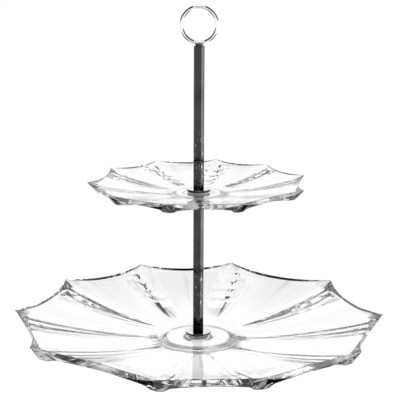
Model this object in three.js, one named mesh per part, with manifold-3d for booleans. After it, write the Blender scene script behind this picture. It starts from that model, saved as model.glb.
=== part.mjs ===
// A two-tier cake stand: two star-shaped pressed glass plates clamped on a screwed metal stem
// with a ring handle. Millimetres, +Z up, foot of the lower plate on Z = 0, stem on the Z axis.
import * as THREE from "three";
import { mergeVertices } from "three/addons/utils/BufferGeometryUtils.js";
import Module from "manifold-3d";

const wasm = await Module();
wasm.setup();

// Driving sizes: plates. Each is a star with slightly uneven points, listed by their angles.
const lower = {
  pointAngles: [-1, 38, 78, 111, 142, 178, 213, 258, 289, 324],
  tipRadius: 176.5,
  arcDepth: 8,
  rise: 21,
  arcDrop: 3.4,
  wellRadius: 38,
  centreThickness: 8.5,
  bandHeight: 6.2,
  thinnest: 5,
  keelDepth: 5.5,
  overhang: 9.5,
  seatRadius: 14.5,
  footWidth: 15.5,
  collarRadius: 12.3,
};
const upper = {
  pointAngles: [14, 49, 80, 114, 147, 186, 220, 254, 292, 336],
  tipRadius: 103.5,
  arcDepth: 5,
  rise: 11,
  arcDrop: 1.6,
  wellRadius: 22,
  centreThickness: 7.5,
  bandHeight: 4.4,
  thinnest: 3.8,
  keelDepth: 3.6,
  overhang: 8.5,
  seatRadius: 15,
  footWidth: 6,
  recess: 0.8,
  collarRadius: 11,
};
const pointEdge = 0.8;
const dishPower = 1.75;
const footFade = 20;
const keelFade = 1.3;
const keelSharpness = 3;
const overhangPower = 2.5;
const footFlare = 0.3;
const landSpare = 0.5;

// Driving sizes: stem
const rodRadius = 5;
const rodChamfer = 0.4;
const tierHeight = 140;
const upperRodLength = 133;
const collarThickness = 1.8;
const collarEdge = 0.35;
const gasketRadius = 10.4;
const gasketThickness = 0.8;
const threadRadius = 3;
const threadDepth = 12;
const boreSpare = 2;
const sleeveWall = 1.1;

// Driving sizes: base screw and washer
const washerRadius = 9.5;
const washerThickness = 1.2;
const headRadius = 6.2;
const headHeight = 2.8;
const socketAcross = 4;
const socketDepth = 1.9;
const tableClearance = 0.55;

// Driving sizes: ring handle
const ringOuterRadius = 18;
const wireRadius = 1.75;
const neckShoulder = 0.6;
const neckGap = 1;
const neckWrap = 0.9;

// Clearances
const stackGap = 0.05;
const threadGap = 0.08;
const holeGap = 0.15;
const weldGap = 0.3;

// Facets
const turnSteps = 32;
const arcSteps = 8;
const dishSteps = 8;
const ringSteps = 64;
const wireSides = 12;
const wireSpaceSides = 16;
const socketSides = 6;
const degrees = Math.PI / 180;

// Heights up the stem, each from the one below
const headBottom = tableClearance;
const headTop = headBottom + headHeight;
const washerBottom = headTop + stackGap;
const bottomGasketBottom = washerBottom + washerThickness + stackGap;
const lowerGlassBottom = bottomGasketBottom + gasketThickness + stackGap;
const lowerGlassTop = lowerGlassBottom + lower.centreThickness;
const lowerGasketBottom = lowerGlassTop + stackGap;
const lowerCollarBottom = lowerGasketBottom + gasketThickness + stackGap;
const lowerRodBottom = lowerCollarBottom + collarThickness + stackGap;
const upperRodBottom = lowerRodBottom + tierHeight;
const upperCollarBottom = upperRodBottom - stackGap - collarThickness;
const upperGasketBottom = upperCollarBottom - stackGap - gasketThickness;
const upperGlassTop = upperGasketBottom - stackGap;
const upperGlassBottom = upperGlassTop - upper.centreThickness;
const underGasketBottom = upperGlassBottom - stackGap - gasketThickness;
const supportBottom = underGasketBottom - stackGap - collarThickness;
const lowerRodTop = supportBottom - stackGap;
const upperRodTop = upperRodBottom + upperRodLength;
const ringCentre = upperRodTop + neckGap + ringOuterRadius;

// Radii that fit round the thread
const sleeveInner = threadRadius + holeGap;
const sleeveOuter = sleeveInner + sleeveWall;
const glassBore = sleeveOuter + holeGap;
const discBore = threadRadius + holeGap;
const threadBore = threadRadius + threadGap;
const neckRadius = threadRadius + neckShoulder;

const materials = {
  glass: { color: 0xf2f5f5, roughness: 0.03, metalness: 0, transparent: true, opacity: 0.35 },
  rod: { color: 0x3c3e40, roughness: 0.18, metalness: 1 },
  chrome: { color: 0xd6d8da, roughness: 0.08, metalness: 1 },
  steel: { color: 0x9a9da0, roughness: 0.3, metalness: 1 },
  gasket: { color: 0xdfe3e3, roughness: 0.5, metalness: 0 },
  nylon: { color: 0x1c1c1c, roughness: 0.45, metalness: 0 },
};

const stand = new THREE.Group();

function add(name, geometry, look) {
  const mesh = new THREE.Mesh(geometry, new THREE.MeshStandardMaterial(materials[look]));
  mesh.name = name;
  stand.add(mesh);
}

// A solid turned about Z. The profile is a list of [radius, height], outside going up.
function turned(profile, steps = turnSteps) {
  const points = profile.map(([radius, height]) => new THREE.Vector2(radius, height));
  return new THREE.LatheGeometry(points, steps).rotateX(Math.PI / 2);
}

function flatRing(inner, outer, bottom, thickness, edge = 0) {
  const top = bottom + thickness;
  const rim = edge > 0
    ? [[outer - edge, bottom], [outer, bottom + edge], [outer, top - edge], [outer - edge, top]]
    : [[outer, bottom], [outer, top]];
  return turned([[inner, bottom], ...rim, [inner, top], [inner, bottom]]);
}

function toSolid(geometry) {
  const bare = geometry.clone();
  bare.deleteAttribute("normal");
  bare.deleteAttribute("uv");
  const merged = mergeVertices(bare, 1e-4);
  const index = merged.index.array;
  const corners = [];
  for (let i = 0; i < index.length; i += 3) {
    const [a, b, c] = [index[i], index[i + 1], index[i + 2]];
    if (a !== b && b !== c && c !== a) corners.push(a, b, c);
  }
  return new wasm.Manifold(new wasm.Mesh({
    numProp: 3,
    vertProperties: new Float32Array(merged.attributes.position.array),
    triVerts: new Uint32Array(corners),
  }));
}

function toGeometry(solid) {
  const mesh = solid.getMesh();
  const geometry = new THREE.BufferGeometry();
  geometry.setAttribute("position", new THREE.BufferAttribute(mesh.vertProperties, 3));
  geometry.setIndex(new THREE.BufferAttribute(mesh.triVerts, 1));
  geometry.computeVertexNormals();
  return geometry;
}

// Distance from the axis to the rim, at an angle from the middle of the arc between two points.
// The arc bows inwards, and a wider one bows further.
function rimRadius(plate, halfSpan, fromMiddle) {
  const halfChord = plate.tipRadius * Math.sin(halfSpan);
  const depth = (plate.arcDepth * halfSpan * plate.pointAngles.length) / Math.PI;
  const arcRadius = (halfChord ** 2 + depth ** 2) / (2 * depth);
  const arcCentre = plate.tipRadius * Math.cos(halfSpan) - depth + arcRadius;
  const across = arcCentre * Math.sin(fromMiddle);
  return arcCentre * Math.cos(fromMiddle) - Math.sqrt(arcRadius ** 2 - across ** 2);
}

// Height of the dished top at a distance from the axis.
function dishHeight(plate, glassTop, rim, rimTop, radius) {
  const t = Math.max(0, radius - plate.wellRadius) / (rim - plate.wellRadius);
  return glassTop + (rimTop - glassTop) * t ** dishPower;
}

// One radial section through a plate, as a closed list of [radius, height]: the centre hole,
// the foot ring, the underside, the rim's upright band, the dished top and the flat land under
// the collar. Towards a point of the star the rim rises, the band thins to the point's edge, and
// the underside drops to a keel that ends inside the point and fades out towards the foot.
function plateSection(plate, footBottom, glassBottom, halfSpan, fromMiddle) {
  const toPoint = Math.abs(fromMiddle) / halfSpan;
  const keel = plate.keelDepth * toPoint ** keelSharpness;
  const glassTop = glassBottom + plate.centreThickness;
  const footOuter = plate.seatRadius + plate.footWidth;
  const footInner = plate.seatRadius - footFlare * (glassBottom - footBottom);
  const landRadius = plate.collarRadius + landSpare;
  const rim = rimRadius(plate, halfSpan, fromMiddle);
  const arcBow = plate.tipRadius - rimRadius(plate, halfSpan, 0);
  const rimTop = glassTop + plate.rise - (plate.arcDrop * (plate.tipRadius - rim)) / arcBow;
  const band = pointEdge + (plate.bandHeight - pointEdge) * (1 - toPoint ** keelSharpness);
  const underRim = rim - plate.overhang * toPoint ** overhangPower;
  const top = (radius) => dishHeight(plate, glassTop, rim, rimTop, radius);
  const footDepth = top(footOuter) - footBottom;

  const section = [[glassBore, glassBottom], [footInner, glassBottom]];
  section.push([plate.seatRadius, footBottom], [footOuter, footBottom]);
  for (let i = 1; i <= dishSteps; i += 1) {
    const t = i / dishSteps;
    const radius = footOuter + (underRim - footOuter) * t;
    const thickness = plate.thinnest + (plate.bandHeight - plate.thinnest) * t
      + (footDepth - plate.thinnest) * (1 - t) ** footFade;
    section.push([radius, top(radius) - thickness - keel * t ** keelFade]);
  }
  section.push([rim, rimTop - band]);
  for (let i = dishSteps; i >= 0; i -= 1) {
    const t = i / dishSteps;
    const radius = plate.wellRadius + (rim - plate.wellRadius) * t;
    section.push([radius, top(radius)]);
  }
  section.push([landRadius, glassTop], [glassBore, glassTop], [glassBore, glassBottom]);
  return section;
}

// The turned blank gives the mesh, and each of its columns takes the section at its own angle.
function plateGeometry(plate, footBottom, glassBottom) {
  const points = plate.pointAngles.map((angle) => angle * degrees);
  const blank = plateSection(plate, footBottom, glassBottom, Math.PI / points.length, 0);
  const columns = points.length * arcSteps;
  const geometry = turned(blank, columns);
  const position = geometry.attributes.position;
  for (let i = 0; i <= columns; i += 1) {
    const arc = Math.floor(i / arcSteps) % points.length;
    const next = arc + 1 < points.length ? points[arc + 1] : points[0] + 2 * Math.PI;
    const halfSpan = (next - points[arc]) / 2;
    const fromMiddle = halfSpan * (2 * (i % arcSteps) / arcSteps - 1);
    const angle = points[arc] + halfSpan + fromMiddle;
    const section = plateSection(plate, footBottom, glassBottom, halfSpan, fromMiddle);
    section.forEach(([radius, height], row) => {
      const vertex = i * blank.length + row;
      position.setXYZ(vertex, radius * Math.cos(angle), radius * Math.sin(angle), height);
    });
  }
  geometry.computeVertexNormals();
  return geometry;
}

// A rod with a threaded blind bore in each end.
function rod(bottom, top) {
  const depth = threadDepth + boreSpare;
  return turned([
    [0, bottom + depth],
    [threadBore, bottom + depth],
    [threadBore, bottom],
    [rodRadius - rodChamfer, bottom],
    [rodRadius, bottom + rodChamfer],
    [rodRadius, top - rodChamfer],
    [rodRadius - rodChamfer, top],
    [threadBore, top],
    [threadBore, top - depth],
    [0, top - depth],
  ]);
}

function baseScrew() {
  const screw = toSolid(turned([
    [0, headBottom],
    [headRadius - collarEdge, headBottom],
    [headRadius, headBottom + collarEdge],
    [headRadius, headTop],
    [threadRadius, headTop],
    [threadRadius, lowerRodBottom + threadDepth],
    [0, lowerRodBottom + threadDepth],
  ]));
  const hexagon = new THREE.Shape();
  const cornerRadius = socketAcross / 2 / Math.cos(Math.PI / socketSides);
  for (let i = 0; i < socketSides; i += 1) {
    const angle = (2 * i * Math.PI) / socketSides;
    const x = cornerRadius * Math.cos(angle);
    const y = cornerRadius * Math.sin(angle);
    if (i === 0) hexagon.moveTo(x, y);
    else hexagon.lineTo(x, y);
  }
  hexagon.closePath();
  const cutter = new THREE.ExtrudeGeometry(hexagon, { depth: 2 * socketDepth, bevelEnabled: false });
  cutter.translate(0, 0, headBottom - socketDepth);
  return toGeometry(screw.subtract(toSolid(cutter)));
}

function ring(radius, section, sides) {
  const torus = new THREE.TorusGeometry(radius, section, sides, ringSteps);
  return torus.rotateX(Math.PI / 2).translate(0, 0, ringCentre);
}

// The neck's top is hollowed to the ring's wire, where the two are brazed.
function handleStud() {
  const neckTop = ringCentre - ringOuterRadius + neckWrap;
  const stud = toSolid(turned([
    [0, upperRodTop - threadDepth],
    [threadRadius, upperRodTop - threadDepth],
    [threadRadius, upperRodTop + stackGap],
    [neckRadius, upperRodTop + stackGap],
    [neckRadius, neckTop],
    [0, neckTop],
  ]));
  const wireSpace = ring(ringOuterRadius - wireRadius, wireRadius + weldGap, wireSpaceSides);
  return toGeometry(stud.subtract(toSolid(wireSpace)));
}

// Lower tier
add("lower_plate", plateGeometry(lower, 0, lowerGlassBottom), "glass");
add("lower_bottom_gasket", flatRing(glassBore, gasketRadius, bottomGasketBottom, gasketThickness), "gasket");
add("base_washer", flatRing(discBore, washerRadius, washerBottom, washerThickness), "steel");
add("base_screw", baseScrew(), "steel");
add("lower_sleeve", flatRing(sleeveInner, sleeveOuter, lowerGlassBottom, lower.centreThickness), "nylon");
add("lower_top_gasket", flatRing(glassBore, gasketRadius, lowerGasketBottom, gasketThickness), "gasket");
const lowerCollar = flatRing(discBore, lower.collarRadius, lowerCollarBottom, collarThickness, collarEdge);
add("lower_collar", lowerCollar, "chrome");
add("lower_rod", rod(lowerRodBottom, lowerRodTop), "rod");

// Upper tier
const supportCollar = flatRing(discBore, upper.collarRadius, supportBottom, collarThickness, collarEdge);
add("support_collar", supportCollar, "chrome");
add("upper_bottom_gasket", flatRing(glassBore, gasketRadius, underGasketBottom, gasketThickness), "gasket");
add("upper_plate", plateGeometry(upper, upperGlassBottom - upper.recess, upperGlassBottom), "glass");
add("upper_sleeve", flatRing(sleeveInner, sleeveOuter, upperGlassBottom, upper.centreThickness), "nylon");
add("upper_top_gasket", flatRing(glassBore, gasketRadius, upperGasketBottom, gasketThickness), "gasket");
const upperCollar = flatRing(discBore, upper.collarRadius, upperCollarBottom, collarThickness, collarEdge);
add("upper_collar", upperCollar, "chrome");
const studBottom = lowerRodTop - threadDepth;
const studTop = upperRodBottom + threadDepth;
add("joining_stud", turned([
  [0, studBottom],
  [threadRadius, studBottom],
  [threadRadius, studTop],
  [0, studTop],
]), "steel");
add("upper_rod", rod(upperRodBottom, upperRodTop), "rod");

// Handle
add("handle_stud", handleStud(), "rod");
add("ring_handle", ring(ringOuterRadius - wireRadius, wireRadius, wireSides), "chrome");

export default stand;
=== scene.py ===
import math

import bmesh
import bpy
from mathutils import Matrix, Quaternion, Vector


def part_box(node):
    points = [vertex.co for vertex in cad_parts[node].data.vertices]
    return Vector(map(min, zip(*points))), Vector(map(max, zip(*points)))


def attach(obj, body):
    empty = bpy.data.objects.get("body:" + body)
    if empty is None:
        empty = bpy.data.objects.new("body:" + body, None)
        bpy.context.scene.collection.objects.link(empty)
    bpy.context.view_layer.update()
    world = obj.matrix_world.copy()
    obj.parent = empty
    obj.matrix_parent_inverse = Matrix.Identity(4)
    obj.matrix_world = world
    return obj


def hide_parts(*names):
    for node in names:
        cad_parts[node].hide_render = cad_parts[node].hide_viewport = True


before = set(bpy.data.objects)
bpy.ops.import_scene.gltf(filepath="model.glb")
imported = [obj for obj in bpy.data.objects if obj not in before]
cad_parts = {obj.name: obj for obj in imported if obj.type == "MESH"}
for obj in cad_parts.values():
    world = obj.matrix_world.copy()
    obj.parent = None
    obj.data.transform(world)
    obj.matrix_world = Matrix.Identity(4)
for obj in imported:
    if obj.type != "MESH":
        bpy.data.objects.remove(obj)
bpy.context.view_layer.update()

MM = 0.001

# ---------------------------------------------------------------- sizes read from the frame

STACK_GAP = 0.05 * MM


def low(node):
    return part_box(node)[0].z


def high(node):
    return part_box(node)[1].z


def reach(node):
    """Largest distance of a node from the stem's axis."""
    return max(math.hypot(v.co.x, v.co.y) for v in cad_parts[node].data.vertices)


def hole(node):
    """Smallest distance of a node from the stem's axis."""
    return min(math.hypot(v.co.x, v.co.y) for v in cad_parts[node].data.vertices)


# The plates. Points are the angles of the star's tips, in degrees.
LOWER = {
    "node": "lower_plate",
    "glass_top": low("lower_top_gasket") - STACK_GAP,
    "glass_bottom": high("lower_bottom_gasket") + STACK_GAP,
    "points": [-1, 38, 78, 111, 142, 178, 213, 258, 289, 324],
    "arc_depth": 8 * MM,
    "arc_drop": 3.4 * MM,
    "well": 38 * MM,
    "band": 6.2 * MM,
    "keel": 5.5 * MM,
    "thinnest": 5 * MM,
    "keel_width": 12 * MM,
    "overhang": 9.5 * MM,
    "seat": 14.5 * MM,
    "foot_width": 15.5 * MM,
}
UPPER = {
    "node": "upper_plate",
    "glass_top": low("upper_top_gasket") - STACK_GAP,
    "glass_bottom": high("upper_bottom_gasket") + STACK_GAP,
    "points": [14, 49, 80, 114, 147, 186, 220, 254, 292, 336],
    "arc_depth": 5 * MM,
    "arc_drop": 1.6 * MM,
    "well": 22 * MM,
    "band": 4.4 * MM,
    "keel": 3.6 * MM,
    "thinnest": 3.8 * MM,
    "keel_width": 8 * MM,
    "overhang": 8.5 * MM,
    "seat": 15 * MM,
    "foot_width": 6 * MM,
}
DISH_POWER = 1.75
FOOT_FADE = 20
FOOT_FLARE = 0.3
KEEL_FADE = 1.3
BAND_POWER = 3
OVERHANG_POWER = 2.5
POINT_EDGE = 0.8 * MM

# The keel under each point is a broad rib with a rounded crest on it
RIB_SHARE = 0.4
RIB_START = 0.5
CREST_ROUND = 0.3
CREST_POWER = 3

# How far the pressed edges are rounded
BORE_SOFTNESS = 0.6 * MM
RECESS_SOFTNESS = 1 * MM
FOOT_SOFTNESS = 5 * MM
KEEL_END_SOFTNESS = 1.6 * MM
BAND_SOFTNESS = 0.6 * MM
LIP_SOFTNESS = 0.5 * MM

# Columns are crowded towards the points, where the shape turns sharply
ARC_COLUMNS = 36
CROWDING = 1.6
UNDER_ROWS = 56
DISH_ROWS = 20

# ---------------------------------------------------------------- mesh helpers


MOST_OF_EDGE = 0.45
MERGE_DISTANCE = 1e-7


def softened(corners, steps=4):
    """Rounds the corners of an outline. Each corner is (radius, height, softness)."""
    outline = []
    for i, (radius, height, softness) in enumerate(corners):
        here = Vector((radius, height))
        if softness <= 0:
            outline.append(here)
            continue
        before = Vector(corners[i - 1][:2]) - here
        after = Vector(corners[(i + 1) % len(corners)][:2]) - here
        start = here + before.normalized() * min(softness, MOST_OF_EDGE * before.length)
        end = here + after.normalized() * min(softness, MOST_OF_EDGE * after.length)
        for k in range(steps + 1):
            t = k / steps
            outline.append(start * (1 - t) ** 2 + here * 2 * t * (1 - t) + end * t**2)
    return outline


def spun(outline, steps, closed):
    """A bmesh of an outline spun round the stem's axis, with the outline's row on each vertex."""
    bm = bmesh.new()
    row = bm.verts.layers.int.new("row")
    verts = []
    for i, (radius, height) in enumerate(outline):
        vert = bm.verts.new((radius, 0, height))
        vert[row] = i
        verts.append(vert)
    edges = [bm.edges.new(pair) for pair in zip(verts, verts[1:])]
    if closed:
        edges.append(bm.edges.new((verts[-1], verts[0])))
    bmesh.ops.spin(
        bm,
        geom=verts + edges,
        cent=(0, 0, 0),
        axis=(0, 0, 1),
        angle=math.tau,
        steps=steps,
        use_merge=True,
    )
    return bm


def finished(bm, name, material, body, slot, *nodes):
    """Turns a bmesh into a smooth-shaded piece that stands for CAD nodes and rides on a body."""
    bmesh.ops.remove_doubles(bm, verts=bm.verts, dist=MERGE_DISTANCE)
    bmesh.ops.recalc_face_normals(bm, faces=bm.faces)
    mesh = bpy.data.meshes.new(name)
    bm.to_mesh(mesh)
    bm.free()
    mesh.shade_smooth()
    mesh.materials.append(material)
    piece = bpy.data.objects.new(name, mesh)
    bpy.context.scene.collection.objects.link(piece)
    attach(piece, body)
    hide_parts(*nodes)
    return piece


# ---------------------------------------------------------------- glass plates


def rim_radius(plate, half_span, from_middle):
    """Distance from the axis to the rim: an arc that bows inwards between two points."""
    half_chord = plate["tip"] * math.sin(half_span)
    depth = plate["arc_depth"] * half_span * len(plate["points"]) / math.pi
    arc = (half_chord**2 + depth**2) / (2 * depth)
    centre = plate["tip"] * math.cos(half_span) - depth + arc
    across = centre * math.sin(from_middle)
    return centre * math.cos(from_middle) - math.sqrt(arc**2 - across**2)


def smooth_fall(x, start, end):
    """1 up to start, falling smoothly to 0 at end."""
    t = min(1, max(0, (x - start) / (end - start)))
    return 1 - t * t * (3 - 2 * t)


def dish(plate, rim, rim_top, radius):
    """Height of the dished top at a distance from the axis."""
    t = max(0, radius - plate["well"]) / (rim - plate["well"])
    return plate["glass_top"] + (rim_top - plate["glass_top"]) * t**DISH_POWER


def plate_section(plate, half_span, from_middle):
    """One radial section through a plate: centre hole, foot, underside, rim band and dished top."""
    to_point = abs(from_middle) / half_span
    rim = rim_radius(plate, half_span, from_middle)
    inward = (plate["tip"] - rim) / (plate["tip"] - rim_radius(plate, half_span, 0))
    rim_top = plate["tip_height"] - plate["arc_drop"] * inward
    band = POINT_EDGE + (plate["band"] - POINT_EDGE) * (1 - to_point**BAND_POWER)
    foot = plate["foot"]
    seat_outer = plate["seat"] + plate["foot_width"]
    under_rim = rim - plate["overhang"] * to_point**OVERHANG_POWER
    crest = 1 + CREST_ROUND - math.hypot(1 - to_point, CREST_ROUND)
    glass_top, glass_bottom = plate["glass_top"], plate["glass_bottom"]
    corners = [
        (plate["bore"], glass_bottom, BORE_SOFTNESS),
        (plate["seat"] - FOOT_FLARE * (glass_bottom - foot), glass_bottom, RECESS_SOFTNESS),
        (plate["seat"], foot, RECESS_SOFTNESS),
        (seat_outer, foot, FOOT_SOFTNESS),
    ]
    foot_depth = dish(plate, rim, rim_top, seat_outer) - foot
    thin = plate["thinnest"]
    for i in range(1, UNDER_ROWS + 1):
        t = i / UNDER_ROWS
        radius = seat_outer + (under_rim - seat_outer) * t
        thickness = thin + (plate["band"] - thin) * t + (foot_depth - thin) * (1 - t) ** FOOT_FADE
        aside = radius * math.sin(half_span - abs(from_middle))
        rib = smooth_fall(aside, RIB_START * plate["keel_width"], plate["keel_width"])
        keel = RIB_SHARE * rib + (1 - RIB_SHARE) * crest**CREST_POWER
        height = dish(plate, rim, rim_top, radius) - thickness
        softness = KEEL_END_SOFTNESS if i == UNDER_ROWS else 0
        corners.append((radius, height - plate["keel"] * keel * t**KEEL_FADE, softness))
    corners.append((rim, rim_top - band, BAND_SOFTNESS))
    for i in range(DISH_ROWS, -1, -1):
        t = i / DISH_ROWS
        radius = plate["well"] + (rim - plate["well"]) * t
        softness = LIP_SOFTNESS if i == DISH_ROWS else 0
        corners.append((radius, dish(plate, rim, rim_top, radius), softness))
    corners.append((plate["bore"], glass_top, BORE_SOFTNESS))
    return softened(corners)


def glass_plate(plate, material, body):
    """Spins a round blank, then gives each of its columns the section at its own angle."""
    plate["tip"] = reach(plate["node"])
    plate["tip_height"] = high(plate["node"])
    plate["bore"] = hole(plate["node"])
    plate["foot"] = low(plate["node"])
    points = [math.radians(a) for a in plate["points"]]
    count = len(points)
    steps = count * ARC_COLUMNS
    bm = spun(plate_section(plate, math.pi / count, 0), steps, closed=True)
    row = bm.verts.layers.int["row"]
    sections = {}
    for vert in bm.verts:
        column = round(math.atan2(vert.co.y, vert.co.x) * steps / math.tau) % steps
        if column not in sections:
            arc, along = divmod(column, ARC_COLUMNS)
            following = points[arc + 1] if arc + 1 < count else points[0] + math.tau
            half_span = (following - points[arc]) / 2
            share = 2 * along / ARC_COLUMNS - 1
            crowded = math.copysign(1 - (1 - abs(share)) ** CROWDING, share)
            from_middle = half_span * crowded
            angle = points[arc] + half_span + from_middle
            sections[column] = (angle, plate_section(plate, half_span, from_middle))
        angle, section = sections[column]
        radius, height = section[vert[row]]
        vert.co = (radius * math.cos(angle), radius * math.sin(angle), height)
    return finished(bm, plate["node"] + "_glass", material, body, "glass", plate["node"])


# ---------------------------------------------------------------- turned metal and plastic


THREAD_BORE = 3.08 * MM
THREAD_GAP = 0.08 * MM
BORE_DEPTH = 14 * MM
BORE_EDGE = 0.1 * MM
CHAMFER = 0.4 * MM
CHAMFER_EDGE = 0.15 * MM


def turned(node, corners, material, body, slot, steps=96):
    """A spun piece in a node's place. Corners that start and end on the axis make a solid end."""
    outline = softened(corners)
    closed = corners[0][0] > 0
    return finished(spun(outline, steps, closed), node + "_turned", material, body, slot, node)


def flat_ring(node, material, body, slot, softness):
    inner, outer, bottom, top = hole(node), reach(node), low(node), high(node)
    corners = [(inner, bottom), (outer, bottom), (outer, top), (inner, top)]
    return turned(node, [(r, z, softness) for r, z in corners], material, body, slot)


def rod(node, material, body):
    """A chamfered rod with a blind bore in each end."""
    outer, bottom, top = reach(node), low(node), high(node)
    corners = [
        (0, bottom + BORE_DEPTH, 0),
        (THREAD_BORE, bottom + BORE_DEPTH, 0),
        (THREAD_BORE, bottom, BORE_EDGE),
        (outer - CHAMFER, bottom, CHAMFER_EDGE),
        (outer, bottom + CHAMFER, CHAMFER_EDGE),
        (outer, top - CHAMFER, CHAMFER_EDGE),
        (outer - CHAMFER, top, CHAMFER_EDGE),
        (THREAD_BORE, top, BORE_EDGE),
        (THREAD_BORE, top - BORE_DEPTH, 0),
        (0, top - BORE_DEPTH, 0),
    ]
    return turned(node, corners, material, body, "rod", steps=128)


def threads(radius, bottom, top, pitch=1.0 * MM, depth=0.35 * MM):
    """Corners of a threaded shank, from bottom to top."""
    corners = []
    count = int((top - bottom) / pitch)
    for i in range(count):
        corners.append((radius - depth, bottom + i * pitch, 0))
        corners.append((radius, bottom + (i + 0.5) * pitch, 0))
    corners.append((radius - depth, top, 0))
    return corners


# ---------------------------------------------------------------- materials


def shader_tree(name):
    material = bpy.data.materials.new(name)
    material.use_nodes = True
    tree = material.node_tree
    return material, tree, tree.nodes["Principled BSDF"]


def place_in(tree):
    """Places on the object, in metres."""
    return tree.nodes.new("ShaderNodeTexCoord").outputs["Object"]


def stretched(tree, source, scale):
    node = tree.nodes.new("ShaderNodeMapping")
    node.inputs["Scale"].default_value = scale
    tree.links.new(source, node.inputs["Vector"])
    return node.outputs["Vector"]


def cloud(tree, source, scale, detail=2):
    node = tree.nodes.new("ShaderNodeTexNoise")
    node.inputs["Scale"].default_value = scale
    node.inputs["Detail"].default_value = detail
    tree.links.new(source, node.inputs["Vector"])
    return node.outputs["Fac"]


def maths(tree, operation, first, second, third=None):
    """A Math node. Each of its inputs is a number or another node's output."""
    node = tree.nodes.new("ShaderNodeMath")
    node.operation = operation
    for socket, value in zip(node.inputs, (first, second, third)):
        if isinstance(value, bpy.types.NodeSocket):
            tree.links.new(value, socket)
        elif value is not None:
            socket.default_value = value
    return node.outputs["Value"]


def vector_maths(tree, operation, source, second=None, third=None):
    """A Vector Math node. Its second input is fixed numbers, and its third another output."""
    node = tree.nodes.new("ShaderNodeVectorMath")
    node.operation = operation
    tree.links.new(source, node.inputs[0])
    if second is not None:
        node.inputs[1].default_value = second
    if third is not None:
        tree.links.new(third, node.inputs[2])
    scalar = operation in ("LENGTH", "DOT_PRODUCT")
    return node.outputs["Value" if scalar else "Vector"]


def parts_of(tree, source):
    node = tree.nodes.new("ShaderNodeSeparateXYZ")
    tree.links.new(source, node.inputs["Vector"])
    return node.outputs


def ramp(tree, source, stops):
    node = tree.nodes.new("ShaderNodeValToRGB")
    elements = node.color_ramp.elements
    while len(elements) < len(stops):
        elements.new(0.5)
    for element, (place, colour) in zip(elements, stops):
        element.position = place
        element.color = (*colour, 1)
    tree.links.new(source, node.inputs["Fac"])
    return node.outputs["Color"]


def colour_mix(tree, share, first, second, blend="MIX"):
    """A Mix node for colours. Its share and second colour are fixed or another node's output."""
    node = tree.nodes.new("ShaderNodeMix")
    node.data_type = "RGBA"
    node.blend_type = blend
    tree.links.new(first, node.inputs["A"])
    for socket, value in ((node.inputs["Factor"], share), (node.inputs["B"], second)):
        if isinstance(value, bpy.types.NodeSocket):
            tree.links.new(value, socket)
        else:
            socket.default_value = value
    return node.outputs["Result"]


def bump(tree, shader, height, strength, distance):
    node = tree.nodes.new("ShaderNodeBump")
    node.inputs["Strength"].default_value = strength
    node.inputs["Distance"].default_value = distance
    tree.links.new(height, node.inputs["Height"])
    tree.links.new(node.outputs["Normal"], shader.inputs["Normal"])


def grey(value):
    return (value, value, value)


BLACK = grey(0)
WHITE = grey(1)


def polish_marks():
    """Shared by the metals: fine marks round the axis and faint smudges."""
    group = bpy.data.node_groups.new("polish_marks", "ShaderNodeTree")
    face = group.interface
    fineness = face.new_socket("Fineness", in_out="INPUT", socket_type="NodeSocketFloat")
    fineness.default_value = 900
    face.new_socket("Smudge", in_out="OUTPUT", socket_type="NodeSocketFloat")
    face.new_socket("Height", in_out="OUTPUT", socket_type="NodeSocketFloat")
    entry, leave = group.nodes.new("NodeGroupInput"), group.nodes.new("NodeGroupOutput")
    place = place_in(group)
    marks = group.nodes.new("ShaderNodeTexNoise")
    marks.inputs["Detail"].default_value = 3
    group.links.new(stretched(group, place, (0.15, 0.15, 1)), marks.inputs["Vector"])
    group.links.new(entry.outputs["Fineness"], marks.inputs["Scale"])
    group.links.new(cloud(group, place, scale=70, detail=4), leave.inputs["Smudge"])
    group.links.new(marks.outputs["Fac"], leave.inputs["Height"])
    return group


POLISH = polish_marks()
MARK_STRENGTH = 0.4


def metal(name, colours, roughnesses, mark_depth):
    """Polished metal. Its colour and roughness vary between two greys with the smudges."""
    material, tree, shader = shader_tree(name)
    marks = tree.nodes.new("ShaderNodeGroup")
    marks.node_tree = POLISH
    smudge = marks.outputs["Smudge"]
    dark, light = colours
    smooth, rough = roughnesses
    colour = ramp(tree, smudge, [(0.35, grey(dark)), (0.65, grey(light))])
    roughness = ramp(tree, smudge, [(0.4, grey(smooth)), (0.75, grey(rough))])
    bump(tree, shader, marks.outputs["Height"], MARK_STRENGTH, mark_depth)
    tree.links.new(colour, shader.inputs["Base Color"])
    tree.links.new(roughness, shader.inputs["Roughness"])
    shader.inputs["Metallic"].default_value = 1
    return material


def paint_light_over(material, painted_light_mask, value):
    """Paints light onto a metal: lays a lighter grey over its colour where the mask is white."""
    tree = material.node_tree
    socket = tree.nodes["Principled BSDF"].inputs["Base Color"]
    under = socket.links[0].from_socket
    # the painted light goes over the metal's own colour
    tree.links.new(colour_mix(tree, painted_light_mask, under, (*grey(value), 1)), socket)
    return material


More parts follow.
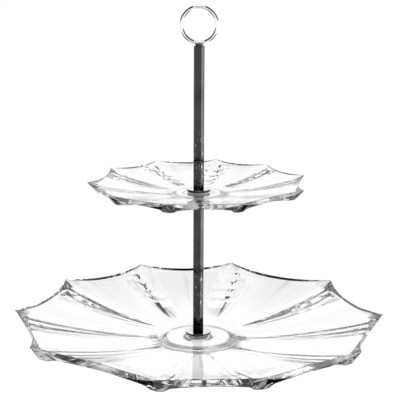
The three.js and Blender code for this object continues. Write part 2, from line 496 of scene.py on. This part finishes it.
def rod_metal_painted_reflection():
    """Painted reflection: bright upright flecks low on each rod, where the rod mirrors the glass
    plate below it.
    """
    material = metal("dark_polished_metal", (0.042, 0.06), (0.06, 0.12), 0.01 * MM)
    tree = material.node_tree
    place = place_in(tree)
    drawn = stretched(tree, place, (1400, 1400, 160))
    # painted reflection of the glass plate, as bright upright flecks in the rod's colour
    reflection_fleck = ramp(tree, cloud(tree, drawn, scale=1, detail=1), [(0.66, BLACK), (0.74, WHITE)])

    # heights up the stand, as shares of a length that clears its top
    whole = 300 * MM
    lower_reflection_full, lower_reflection_end = 0.23, 0.29
    upper_start, upper_full = 0.5, 0.52
    upper_reflection_full, upper_reflection_end = 0.68, 0.74
    # the bands of painted reflection, just above each plate
    reflection_bands = [
        (0, WHITE),
        (lower_reflection_full, WHITE),
        (lower_reflection_end, BLACK),
        (upper_start, BLACK),
        (upper_full, WHITE),
        (upper_reflection_full, WHITE),
        (upper_reflection_end, BLACK),
    ]
    share = maths(tree, "DIVIDE", parts_of(tree, place)["Z"], whole)
    painted_light_mask = maths(tree, "MULTIPLY", reflection_fleck, ramp(tree, share, reflection_bands))
    # the painted reflection is laid over the metal's colour
    return paint_light_over(material, painted_light_mask, value=0.5)


def disc_metal_painted_top():
    """Painted light: the upward flat faces are painted a lighter grey, and the edge and the
    underside are left dark.
    """
    material = metal("dark_polished_discs", (0.06, 0.078), (0.08, 0.16), 0.01 * MM)
    tree = material.node_tree
    facing = tree.nodes.new("ShaderNodeTexCoord").outputs["Normal"]
    # painted light on the faces that look up, chosen by the surface's facing
    painted_top_light = ramp(tree, parts_of(tree, facing)["Z"], [(0.6, BLACK), (0.95, WHITE)])
    return paint_light_over(material, painted_top_light, value=0.75)


def pressed_glass():
    """Clear glass with streaks of the mould running out from the centre in its bump, and painted
    shade: grey tinted into the glass along the strongest streaks.
    """
    material, tree, shader = shader_tree("pressed_glass")
    flat = vector_maths(tree, "MULTIPLY", place_in(tree), (1, 1, 0))
    radius = vector_maths(tree, "LENGTH", flat)
    bearing = vector_maths(tree, "NORMALIZE", flat)
    outward = tree.nodes.new("ShaderNodeCombineXYZ")
    tree.links.new(radius, outward.inputs["Z"])
    spread = vector_maths(tree, "MULTIPLY_ADD", bearing, (1, 1, 1), outward.outputs["Vector"])
    streaks_and_painted_shade = cloud(tree, stretched(tree, spread, (16, 16, 12)), scale=1, detail=3)
    bump(tree, shader, streaks_and_painted_shade, strength=0.5, distance=0.4 * MM)
    # painted shade: the strongest streaks are tinted grey in the glass's colour
    clear, faint, painted_shade_grey = WHITE, (0.985, 0.99, 0.99), grey(0.8)
    painted_shade_tint = ramp(tree, streaks_and_painted_shade, [(0.3, clear), (0.62, faint), (0.72, painted_shade_grey)])
    tree.links.new(painted_shade_tint, shader.inputs["Base Color"])
    shader.inputs["Transmission Weight"].default_value = 1
    shader.inputs["Roughness"].default_value = 0
    shader.inputs["IOR"].default_value = 1.52
    return material


def clouded_plastic(name, scale, dark, light, roughness):
    material, tree, shader = shader_tree(name)
    mottle = cloud(tree, place_in(tree), scale)
    colour = ramp(tree, mottle, [(0.3, grey(dark)), (0.7, grey(light))])
    tree.links.new(colour, shader.inputs["Base Color"])
    shader.inputs["Roughness"].default_value = roughness
    return material, shader


def clear_soft_plastic():
    """Milky and part clear."""
    material, shader = clouded_plastic("clear_soft_plastic", 400, 0.86, 0.95, roughness=0.25)
    shader.inputs["Transmission Weight"].default_value = 0.4
    shader.inputs["IOR"].default_value = 1.45
    return material


def black_nylon():
    return clouded_plastic("nylon", 600, 0.012, 0.03, roughness=0.5)[0]


GLASS = pressed_glass()
ROD_METAL = rod_metal_painted_reflection()
COLLAR_METAL = disc_metal_painted_top()
RING_METAL = metal("bright_polished_wire", (0.82, 0.9), (0.03, 0.08), 0.004 * MM)
STEEL = metal("plain_steel", (0.45, 0.6), (0.2, 0.38), 0.02 * MM)
SOFT_PLASTIC = clear_soft_plastic()
NYLON = black_nylon()

# ---------------------------------------------------------------- the stand

lower_glass = glass_plate(LOWER, GLASS, "base")
upper_glass = glass_plate(UPPER, GLASS, "tier")
for plate in (lower_glass, upper_glass):
    plate.visible_shadow = False

rod("lower_rod", ROD_METAL, "stem")
rod("upper_rod", ROD_METAL, "top_rod")

COLLAR_EDGE = 0.35 * MM
WASHER_EDGE = 0.2 * MM
SLEEVE_EDGE = 0.15 * MM
flat_ring("lower_collar", COLLAR_METAL, "stem", "collar", COLLAR_EDGE)
flat_ring("support_collar", COLLAR_METAL, "stem", "collar", COLLAR_EDGE)
flat_ring("upper_collar", COLLAR_METAL, "top_rod", "collar", COLLAR_EDGE)
flat_ring("base_washer", STEEL, "base", "steel", WASHER_EDGE)
flat_ring("lower_top_gasket", SOFT_PLASTIC, "base", "gasket", WASHER_EDGE)
flat_ring("lower_bottom_gasket", SOFT_PLASTIC, "base", "gasket", WASHER_EDGE)
flat_ring("upper_top_gasket", SOFT_PLASTIC, "top_rod", "gasket", WASHER_EDGE)
flat_ring("upper_bottom_gasket", SOFT_PLASTIC, "stem", "gasket", WASHER_EDGE)
flat_ring("lower_sleeve", NYLON, "base", "sleeve", SLEEVE_EDGE)
flat_ring("upper_sleeve", NYLON, "tier", "sleeve", SLEEVE_EDGE)


def joining_stud():
    node = "joining_stud"
    radius, bottom, top = reach(node), low(node), high(node)
    corners = [(0, bottom, 0)] + threads(radius, bottom, top) + [(0, top, 0)]
    turned(node, corners, STEEL, "stem", "steel", steps=64)


def base_screw():
    """The head's socket, rows 1 and 2, starts round and is pulled out to six flats."""
    node = "base_screw"
    head, bottom, top = reach(node), low(node), high(node)
    head_top = low("base_washer") - STACK_GAP
    across, socket_depth = 4 * MM, 1.9 * MM
    head_edge, head_top_edge = 0.5 * MM, 0.2 * MM
    flat = math.pi / 3
    shank = THREAD_BORE - THREAD_GAP
    corners = [
        (0, bottom + socket_depth, 0),
        (across / 2, bottom + socket_depth, 0),
        (across / 2, bottom, 0),
        (head, bottom, head_edge),
        (head, head_top, head_top_edge),
    ]
    corners += threads(shank, head_top, top) + [(0, top, 0)]
    bm = spun(softened(corners), 72, closed=False)
    row = bm.verts.layers.int["row"]
    for vert in bm.verts:
        if vert[row] in (1, 2):
            angle = math.atan2(vert.co.y, vert.co.x)
            from_flat = (angle + flat / 2) % flat - flat / 2
            vert.co.xy = vert.co.xy * (1 / math.cos(from_flat))
    finished(bm, "base_screw_turned", STEEL, "screw", "steel", node)


def ring_handle():
    node = "ring_handle"
    box_low, box_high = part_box(node)
    wire = (box_high.y - box_low.y) / 2
    centre = (box_low.z + box_high.z) / 2
    middle = reach(node) - wire
    bm = bmesh.new()
    circle = bmesh.ops.create_circle(bm, segments=28, radius=wire)
    verts = circle["verts"]
    bmesh.ops.translate(bm, verts=verts, vec=(middle, 0, 0))
    edges = list({edge for vert in verts for edge in vert.link_edges})
    bmesh.ops.spin(
        bm,
        geom=verts + edges,
        cent=(0, 0, 0),
        axis=(0, 1, 0),
        angle=math.tau,
        steps=160,
        use_merge=True,
    )
    bmesh.ops.translate(bm, verts=bm.verts, vec=(0, 0, centre))
    finished(bm, "ring_handle_wire", RING_METAL, "handle", "ring", node)


def handle_stud():
    """The neck's top is hollowed to sit under the ring's wire."""
    node = "handle_stud"
    ring_low, ring_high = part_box("ring_handle")
    wire = (ring_high.y - ring_low.y) / 2 + STACK_GAP
    ring_centre = (ring_low.z + ring_high.z) / 2
    middle = (ring_high.z - ring_low.z) / 2 - (ring_high.y - ring_low.y) / 2
    neck, bottom, neck_top = reach(node), low(node), high(node)
    rod_top = high("upper_rod") + STACK_GAP
    relief, undercut, shoulder = 0.6 * MM, 0.4 * MM, 0.2 * MM
    foot_edge, top_edge = 0.15 * MM, 0.25 * MM
    top_rings, top_share = 8, 0.93
    shank = THREAD_BORE - THREAD_GAP
    corners = [(0, bottom, 0)] + threads(shank, bottom, rod_top - relief)
    corners += [(THREAD_BORE - undercut, rod_top, 0), (neck, rod_top, foot_edge)]
    corners += [(neck, neck_top, top_edge)]
    for i in range(top_rings, -1, -1):
        corners.append((neck * top_share * i / top_rings, neck_top, 0))
    bm = spun(softened(corners), 64, closed=False)
    for vert in bm.verts:
        x, y, z = vert.co
        if z > rod_top + shoulder and abs(y) < wire:
            out = middle + math.sqrt(wire**2 - y**2)
            under_wire = ring_centre - math.sqrt(out**2 - x**2)
            vert.co.z = min(z, under_wire)
    finished(bm, "handle_stud_turned", ROD_METAL, "handle", "rod", node)


joining_stud()
base_screw()
ring_handle()
handle_stud()

# ---------------------------------------------------------------- floor, light and camera

# The sky's bright ring, as heights on a sphere of radius 1
RING_MIDDLE = -0.18
RING_HALF = 0.43
RING_BLUR = 0.05
RING_GLOW = 1.05
SIDE_NARROWING = 0.75
BACK_LIFT = 0.05
BACK_WIDENING = 0.36
BACK_START = 0.6
BACK_FULL = 0.93
DARK = 0.03
UNDER_START = 0.8
UNDER_FULL = 0.88
UNDER_GLOW = 0.85

# The brighter stretch of the ring, by its middle's bearing
BRIGHT_BEARING = (0.985, -0.174, 0)
BRIGHT_START = 0.84
BRIGHT_FULL = 0.9
BRIGHT_GLOW = 4.2


def pale_floor():
    """A plain white sheet, clear from below. The glass and metal take their light from the sky's
    bright ring instead."""
    bm = bmesh.new()
    bmesh.ops.create_circle(bm, cap_ends=True, segments=96, radius=6)
    mesh = bpy.data.meshes.new("pale_floor")
    bm.to_mesh(mesh)
    bm.free()
    floor = bpy.data.objects.new("pale_floor", mesh)
    floor.location.z = -0.2 * MM
    bpy.context.scene.collection.objects.link(floor)
    material, tree, shader = shader_tree("pale_floor")
    shader.inputs["Base Color"].default_value = (*grey(0.05), 1)
    shader.inputs["Roughness"].default_value = 0.9
    shader.inputs["Specular IOR Level"].default_value = 0
    shader.inputs["Emission Color"].default_value = (*WHITE, 1)
    shader.inputs["Emission Strength"].default_value = 1
    clear = tree.nodes.new("ShaderNodeBsdfTransparent")
    from_below = tree.nodes.new("ShaderNodeMixShader")
    side = tree.nodes.new("ShaderNodeNewGeometry")
    output = tree.nodes["Material Output"]
    tree.links.new(side.outputs["Backfacing"], from_below.inputs["Fac"])
    tree.links.new(shader.outputs["BSDF"], from_below.inputs[1])
    tree.links.new(clear.outputs["BSDF"], from_below.inputs[2])
    tree.links.new(from_below.outputs["Shader"], output.inputs["Surface"])
    mesh.materials.append(material)
    floor.visible_transmission = False
    floor.visible_glossy = False
    floor.visible_diffuse = False


def sky():
    """White to look at, but the glass and metal see a bright ring round the horizon between a dark
    ceiling and a dark band, light again straight below, with one brighter stretch on the right that
    puts the light stripe on the rods."""
    world = bpy.data.worlds.new("sky")
    bpy.context.scene.world = world
    world.use_nodes = True
    tree = world.node_tree
    place = tree.nodes.new("ShaderNodeTexCoord").outputs["Generated"]
    height = parts_of(tree, place)["Z"]
    level = vector_maths(tree, "MULTIPLY", place, (1, 1, 0))
    bearing = vector_maths(tree, "NORMALIZE", level)
    sides = parts_of(tree, bearing)
    back = ramp(tree, sides["Y"], [(BACK_START, BLACK), (BACK_FULL, WHITE)])

    # the ring is narrower at the sides, and wider and higher at the back
    rise = maths(tree, "MULTIPLY_ADD", back, -BACK_LIFT, -RING_MIDDLE)
    lift = maths(tree, "ADD", height, rise)
    square = maths(tree, "POWER", sides["X"], 2)
    narrow = maths(tree, "MULTIPLY_ADD", square, SIDE_NARROWING, 1)
    widen = maths(tree, "MULTIPLY_ADD", back, -BACK_WIDENING, narrow)
    off = maths(tree, "ABSOLUTE", maths(tree, "MULTIPLY", lift, widen), None)
    ring_edge = [
        (RING_HALF - RING_BLUR, grey(RING_GLOW)),
        (RING_HALF + RING_BLUR, grey(DARK)),
    ]
    ring = ramp(tree, off, ring_edge)
    depth = maths(tree, "MULTIPLY", height, -1)
    under = ramp(tree, depth, [(UNDER_START, BLACK), (UNDER_FULL, grey(UNDER_GLOW))])
    lit = colour_mix(tree, 1, ring, under, blend="LIGHTEN")
    along = vector_maths(tree, "DOT_PRODUCT", bearing, BRIGHT_BEARING)
    glow = ramp(tree, along, [(BRIGHT_START, WHITE), (BRIGHT_FULL, grey(BRIGHT_GLOW))])
    both = colour_mix(tree, 1, lit, glow, blend="MULTIPLY")
    looked_at = tree.nodes.new("ShaderNodeLightPath").outputs["Is Camera Ray"]
    seen = colour_mix(tree, looked_at, both, (*WHITE, 1))
    tree.links.new(seen, tree.nodes["Background"].inputs["Color"])


def top_softbox():
    place = Vector((0, -0.3, 2.2))
    data = bpy.data.lights.new("top_softbox", "AREA")
    data.shape = "RECTANGLE"
    data.size, data.size_y = 1.4, 1.4
    data.energy = 14
    light = bpy.data.objects.new("top_softbox", data)
    light.location = place
    light.rotation_euler = (-place).to_track_quat("-Z", "Y").to_euler()
    light.visible_camera = False
    bpy.context.scene.collection.objects.link(light)


def camera():
    data = bpy.data.cameras.new("camera")
    view = bpy.data.objects.new("camera", data)
    bpy.context.scene.collection.objects.link(view)
    distance, elevation, roll = 1.1, math.radians(13.13), math.radians(0.22)
    aim = Vector((0, 0, 0.145))
    back = Vector((0, -math.cos(elevation), math.sin(elevation)))
    view.location = aim + back * distance
    turn = (-back).to_track_quat("-Z", "Y") @ Quaternion((0, 0, 1), roll)
    view.rotation_euler = turn.to_euler()
    data.sensor_width = 36
    data.lens = 105.6
    data.shift_x = 0.0035
    data.shift_y = 0.002
    bpy.context.scene.camera = view


pale_floor()
sky()
top_softbox()
camera()
bpy.context.scene.view_settings.view_transform = "Standard"

# thick glass passes light on many times before it reaches the eye
BOUNCES = 16
GLOSSY_BOUNCES = 8
light_path = bpy.context.scene.cycles
light_path.max_bounces = BOUNCES
light_path.glossy_bounces = GLOSSY_BOUNCES
light_path.transmission_bounces = BOUNCES
